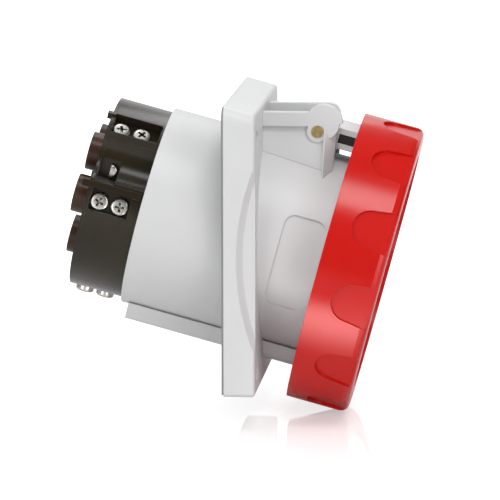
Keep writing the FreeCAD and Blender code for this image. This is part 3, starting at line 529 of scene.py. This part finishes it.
@dataclass
class TerminalScrews:
    """Cross-slotted screws that clamp the wires, two in each terminal, in two rows along the socket axis."""

    sides: int = 48
    head_radius: float = 3.6 * MM
    head_height: float = 2.4 * MM
    crown: float = 0.9 * MM
    crown_steps: int = 5
    shank_radius: float = 2.0 * MM
    slot_half: float = 0.55 * MM
    slot_reach: float = 2.3 * MM
    slot_depth: float = 1.5 * MM
    slot_taper: float = 0.62
    sharp_from: float = 35.0
    rows: Pair = (-64.2 * MM, -56.0 * MM)
    seats: tuple[ScrewSeat, ...] = (
        ScrewSeat(125.0, 33.75 * MM, 10.75 * MM),
        ScrewSeat(55.0, 33.75 * MM, 10.75 * MM),
        ScrewSeat(4.0, 33.75 * MM, 6.25 * MM),
        ScrewSeat(176.0, 33.75 * MM, 6.25 * MM),
        ScrewSeat(270.0, 37.7 * MM, 16.2 * MM),
    )
    turns: tuple[float, ...] = (14.0, 61.0, 33.0, 80.0, 22.0, 47.0, 71.0, 8.0, 55.0, 38.0)

    def model(self) -> bpy.types.Object:
        """Shapes a screw's head, standing on its seat at the origin.

        Returns:
            The head, without its shank.
        """
        bpy.ops.object.select_all(action="DESELECT")
        bpy.ops.mesh.primitive_cylinder_add(vertices=self.sides, radius=self.head_radius, depth=self.head_height,
                                            location=(0, 0, self.head_height / 2))
        screw = bpy.context.object
        select_faces(screw, lambda face: face.normal.z > FACING)
        bpy.ops.mesh.bevel(offset=self.crown, segments=self.crown_steps, affect="EDGES")
        leave_edit()
        self._cut_cross(screw)
        smooth(screw, self.sharp_from)
        return screw

    def _add_shank(self, screw: bpy.types.Object, length: float) -> None:
        """Draws the shank out of the underside of the head.

        Args:
            screw: the head.
            length: how far the shank reaches below it.
        """
        select_faces(screw, lambda face: face.normal.z < -FACING)
        bpy.ops.mesh.inset(thickness=self.head_radius - self.shank_radius)
        bpy.ops.mesh.extrude_region_move(TRANSFORM_OT_translate={"value": (0, 0, -length)})
        leave_edit()

    def _cut_cross(self, screw: bpy.types.Object) -> None:
        """Cuts the cross slot, narrower towards its foot.

        Args:
            screw: the head.
        """
        foot = self.head_height - self.slot_depth
        for turn in (0.0, math.pi / 2):
            bpy.ops.mesh.primitive_cube_add(size=1.0, location=(0, 0, self.head_height))
            tool = bpy.context.object
            tool.scale = (2 * self.slot_reach, 2 * self.slot_half, 2 * self.slot_depth)
            tool.rotation_euler = (0, 0, turn)
            bpy.ops.object.transform_apply(location=True, rotation=True, scale=True)
            select_faces(tool, lambda face: face.normal.z < -FACING)
            bpy.ops.transform.resize(value=(self.slot_taper, self.slot_taper, 1.0), center_override=(0, 0, foot))
            leave_edit()
            apply_modifier(screw, "BOOLEAN", operation="DIFFERENCE", object=tool, solver="EXACT")
            bpy.data.objects.remove(tool)

    def build(self, materials: Materials) -> None:
        """Makes the ten screws and seats each on its terminal.

        Args:
            materials: the materials by the names of their finishes.
        """
        first = self.model()
        for count, (seat, along) in enumerate(product(self.seats, self.rows)):
            screw = copied(first, f"terminal_screw_{count + 1}")
            self._add_shank(screw, seat.shank)
            spin = Matrix.Rotation(math.radians(self.turns[count]), 4, "Z")
            settle(screw, AXIS.radial(seat.angle, seat.radius, along) @ spin)
            dress(screw, materials[NICKEL.name])
            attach(screw, Body.SOCKET.value)
            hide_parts("terminal_screws")
            log.info("%s seated", screw.name)
        bpy.data.objects.remove(first)


@dataclass
class WindowStrips:
    """The bright strips behind the side windows of the terminal block, rounded in front and domed outwards.

    The middle is a strip's height across the socket axis and its place along it.
    """

    sides: int = 48
    from_axis: float = 27.0 * MM
    depth: float = 3.0 * MM
    half_height: float = 2.6 * MM
    reach: float = 2.7 * MM
    root: float = 0.3 * MM
    edge: float = 0.9 * MM
    edge_steps: int = 5
    sharp_from: float = 35.0
    middle: Pair = (13.8 * MM, -63.5 * MM)

    def model(self) -> bpy.types.Object:
        """Shapes one strip about the origin, its outer face towards +X.

        Returns:
            The strip.
        """
        bpy.ops.object.select_all(action="DESELECT")
        bpy.ops.mesh.primitive_cylinder_add(vertices=self.sides, radius=1.0, depth=self.depth,
                                            rotation=(0, math.pi / 2, 0))
        strip = bpy.context.object
        strip.scale = (self.reach, self.half_height, 1.0)
        bpy.ops.object.transform_apply(location=True, rotation=True, scale=True)
        select_faces(strip, lambda face: face.normal.x > FACING)
        bpy.ops.mesh.bevel(offset=self.edge, segments=self.edge_steps, affect="EDGES")
        bpy.ops.mesh.select_all(action="SELECT")
        bpy.ops.mesh.bisect(plane_co=(0, 0, -self.root), plane_no=(0, 0, 1), use_fill=True, clear_inner=True)
        leave_edit()
        smooth(strip, self.sharp_from)
        return strip

    def build(self, materials: Materials) -> None:
        """Sets one strip in each window.

        Args:
            materials: the materials by the names of their finishes.
        """
        first = self.model()
        height, along = self.middle
        for name, turn in (("window_strip_right", 0.0), ("window_strip_left", math.pi)):
            strip = copied(first, name)
            place = Matrix.Translation((self.from_axis * math.cos(turn), height, along))
            settle(strip, AXIS.matrix() @ place @ Matrix.Rotation(turn, 4, "Z"))
            dress(strip, materials[NICKEL.name])
            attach(strip, Body.SOCKET.value)
            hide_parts("test_clips")
            log.info("%s set", strip.name)
        bpy.data.objects.remove(first)


@dataclass
class HingeSpring:
    """The closing spring, wound round the hinge pin."""

    wire: float = 1.1 * MM
    wire_sides: int = 12
    coil_radius: float = 3.15 * MM
    turns: int = 9
    turn_steps: int = 24
    half_length: float = 5.2 * MM
    weld: float = 0.001 * MM
    sharp_from: float = 50.0
    pin: Point = (0.0, -33.3 * MM, 45.0 * MM)

    def build(self, materials: Materials) -> None:
        """Winds the spring from a circle of wire.

        Args:
            materials: the materials by the names of their finishes.
        """
        bpy.ops.object.select_all(action="DESELECT")
        bpy.ops.mesh.primitive_circle_add(vertices=self.wire_sides, radius=self.wire / 2, fill_type="NGON",
                                          location=(self.coil_radius, 0, -self.half_length),
                                          rotation=(math.pi / 2, 0, 0))
        spring = bpy.context.object
        spring.name = "closing_spring"
        bpy.ops.object.transform_apply(location=True, rotation=True, scale=True)
        steps = self.turn_steps * self.turns
        apply_modifier(spring, "SCREW", angle=2 * math.pi * self.turns, screw_offset=2 * self.half_length,
                       axis="Z", steps=steps, render_steps=steps, use_merge_vertices=True)
        settle(spring, Matrix.Translation(self.pin) @ Matrix.Rotation(math.pi / 2, 4, "Y"))
        bpy.ops.object.mode_set(mode="EDIT")
        bpy.ops.mesh.select_all(action="SELECT")
        bpy.ops.mesh.remove_doubles(threshold=self.weld)
        bpy.ops.mesh.normals_make_consistent(inside=False)
        leave_edit()
        smooth(spring, self.sharp_from)
        dress(spring, materials[SPRING_STEEL.name])
        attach(spring, Body.SOCKET.value)
        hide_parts("hinge_spring")
        log.info("%s wound in %d turns", spring.name, self.turns)


@dataclass
class View:
    """The camera, where the photograph was taken from."""

    azimuth: float = math.radians(-84.43)
    elevation: float = math.radians(9.53)
    roll: float = math.radians(-0.08)
    distance: float = 1572.23 * MM
    target: Point = (0.0, -5.43 * MM, -4.5 * MM)
    lens: float = 288.0
    sensor: float = 36.0
    clip: Pair = (0.05, 20.0)

    def aim(self) -> tuple[Vector, Vector, Vector]:
        """Turns the angles into directions.

        Returns:
            The camera's right, up and back directions.
        """
        flat = math.cos(self.elevation)
        back = Vector((math.sin(self.azimuth) * flat, -math.cos(self.azimuth) * flat, math.sin(self.elevation)))
        level = Vector((math.cos(self.azimuth), math.sin(self.azimuth), 0.0))
        rise = back.cross(level)
        right = level * math.cos(self.roll) + rise * math.sin(self.roll)
        return right, back.cross(right), back

    def build(self) -> None:
        """Stands the camera in its place and makes it the scene's own."""
        right, up, back = self.aim()
        place = Vector(self.target) + back * self.distance
        data = bpy.data.cameras.new("view")
        data.lens = self.lens
        data.sensor_width = self.sensor
        data.clip_start, data.clip_end = self.clip
        camera = bpy.data.objects.new("view", data)
        camera.matrix_world = Matrix((
            (right.x, up.x, back.x, place.x),
            (right.y, up.y, back.y, place.y),
            (right.z, up.z, back.z, place.z),
            (0, 0, 0, 1),
        ))
        bpy.context.scene.collection.objects.link(camera)
        bpy.context.scene.camera = camera


@dataclass(frozen=True)
class Lamp:
    """A soft lamp that faces the object."""

    name: str
    place: Point
    size: Pair
    power: float

    def build(self) -> None:
        """Hangs the lamp."""
        data = bpy.data.lights.new(self.name, "AREA")
        data.shape = "RECTANGLE"
        data.size, data.size_y = self.size
        data.energy = self.power
        lamp = bpy.data.objects.new(self.name, data)
        lamp.location = self.place
        lamp.rotation_euler = Vector(self.place).to_track_quat("Z", "Y").to_euler()
        bpy.context.scene.collection.objects.link(lamp)


@dataclass
class Floor:
    """The pale floor, with a glow to the camera and in gloss that grows away from the object.

    In gloss alone it has a bright glowing spot in front of the object, a painted reflection that puts a highlight
    on it.
    """

    size: float = 6.0
    drop: float = 0.5 * MM
    colour: Colour = (0.86, 0.86, 0.86, 1)
    roughness: float = 0.04
    shine: float = 0.42
    middle: Point = (0.0, 0.0, 0.0)
    glow_places: Pair = (0.16, 0.45)
    glow_levels: Pair = (0.42, 1.0)
    gloss_places: Pair = (0.12, 0.70)
    gloss_levels: Pair = (0.0, 0.5)
    painted_glint: Point = (-0.118, -0.03, 0.0)
    painted_glint_places: Pair = (0.012, 0.062)
    painted_glint_levels: Pair = (8.0, 0.0)

    def material(self) -> bpy.types.Material:
        """Adds the glow and the painted reflection spot to a plain pale surface.

        Returns:
            The material.
        """
        graph = Graph(bpy.data.materials.new("white_floor"))
        away = graph.away(self.middle)
        glow = graph.fade(away, self.glow_places, self.glow_levels)
        gloss = graph.fade(away, self.gloss_places, self.gloss_levels)
        # Painted reflection: a spot that glows in gloss only, to paint a highlight on the object.
        painted_glint = graph.fade(graph.away(self.painted_glint), self.painted_glint_places, self.painted_glint_levels, Fade.SOFT)
        light = graph.ray("Camera") * glow + graph.ray("Glossy") * (gloss + painted_glint)
        return graph.surface(Base_Color=self.colour, Roughness=self.roughness, Specular_IOR_Level=self.shine,
                             Emission_Color=WHITE, Emission_Strength=light)

    def build(self) -> None:
        """Lays the floor just below the lowest point."""
        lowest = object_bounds()[0][2]
        bpy.ops.object.select_all(action="DESELECT")
        bpy.ops.mesh.primitive_plane_add(size=self.size, location=(0, 0, lowest - self.drop))
        floor = bpy.context.object
        floor.name = "floor"
        dress(floor, self.material())
        floor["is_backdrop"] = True


@dataclass
class Room:
    """Plain light all round; the room is white to the camera and, behind the object, in gloss.

    The backdrop's places are how far a direction reaches along +X.
    """

    level: float = 0.6
    backdrop_places: Pair = (0.78, 0.92)
    backdrop_levels: Pair = (0.12, 1.0)

    def build(self) -> None:
        """Fills the world with the room's light."""
        world = bpy.data.worlds.new("room")
        bpy.context.scene.world = world
        graph = Graph(world)
        seen = graph.ray("Camera")
        through = graph.ray("Transmission")
        mirrored = graph.ray("Glossy")
        way = graph.node("ShaderNodeTexCoord", output="Generated")
        across = graph.node("ShaderNodeSeparateXYZ", {}, {0: way}, "X")
        backdrop = graph.fade(across, self.backdrop_places, self.backdrop_levels, Fade.SOFT)
        plain = graph.node("ShaderNodeMath", {"operation": "SUBTRACT", "use_clamp": True},
                           {0: 1.0, 1: seen + mirrored + through})
        level = seen + mirrored * backdrop + through * backdrop + plain * self.level
        graph.close(graph.node("ShaderNodeBackground", {}, {"Color": WHITE, "Strength": level}),
                    "ShaderNodeOutputWorld")


@dataclass
class Studio:
    """The photograph's view, soft lamps, the pale floor and the room."""

    view: View = field(default_factory=View)
    lamps: tuple[Lamp, ...] = (
        Lamp("key", (-0.57, -0.24, 0.94), (0.36, 0.36), 3.2),
        Lamp("near", (-0.82, -0.72, 0.16), (0.5, 0.5), 2.4),
        Lamp("top", (0.05, 0.25, 1.0), (0.8, 0.8), 1.8),
        Lamp("side", (-0.9, 0.55, 0.0), (0.5, 0.5), 2.9),
        Lamp("rim", (0.307, -0.041, 0.437), (0.08, 0.45), 0.5),
    )
    floor: Floor = field(default_factory=Floor)
    room: Room = field(default_factory=Room)

    def build(self) -> None:
        """Sets up the view, the lamps, the floor and the room."""
        self.view.build()
        for lamp in self.lamps:
            lamp.build()
        self.floor.build()
        self.room.build()
        bpy.context.scene.view_settings.view_transform = "Standard"
        log.info("view and lamps set")


@dataclass
class PanelSocket:
    """The whole object and the studio that it stands in."""

    nodes: tuple[Node, ...] = (
        Node("flange", GREY_SHELL),
        Node("barrel_front", GREY_SHELL),
        Node("barrel_rear", GREY_SHELL),
        Node("hinge_cheeks", GREY_SHELL),
        Node("bayonet_cams", GREY_SHELL),
        Node("lid", GREY_LID),
        Node("bayonet_ring", RED_RING),
        Node("ring_lip", RED_RING),
        Node("ring_lugs", RED_RING),
        Node("ring_snaps", RED_RING),
        Node("terminal_block", BROWN_BLOCK),
        Node("entry_cover", BROWN_BLOCK),
        Node("wire_collars", BROWN_COLLAR),
        Node("contact_core", DARK_CORE),
        Node("panel_gasket", GREY_GASKET),
        Node("shroud_seal", BLACK_RUBBER),
        Node("lid_seal", BLACK_RUBBER),
        Node("hinge_buffer", BLACK_RUBBER),
        Node("hinge_pin", BRASS),
        Node("contact_pilot", BRASS),
        Node("contact_l1", BRASS),
        Node("contact_l2", BRASS),
        Node("contact_l3", BRASS),
        Node("contact_n", BRASS),
        Node("contact_earth", BRASS),
    )
    screws: TerminalScrews = field(default_factory=TerminalScrews)
    strips: WindowStrips = field(default_factory=WindowStrips)
    spring: HingeSpring = field(default_factory=HingeSpring)
    studio: Studio = field(default_factory=Studio)

    def build(self) -> None:
        """Dresses every part, models the small ones and sets up the studio."""
        materials = {finish.name: finish.build() for finish in FINISHES}
        for node in self.nodes:
            node.dress(materials)
        self.screws.build(materials)
        self.strips.build(materials)
        self.spring.build(materials)
        self.studio.build()


def main() -> None:
    """Builds the socket."""
    logging.basicConfig(level=logging.INFO, format="%(name)s: %(message)s")
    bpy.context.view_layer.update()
    PanelSocket().build()


if __name__ == "__main__":
    main()
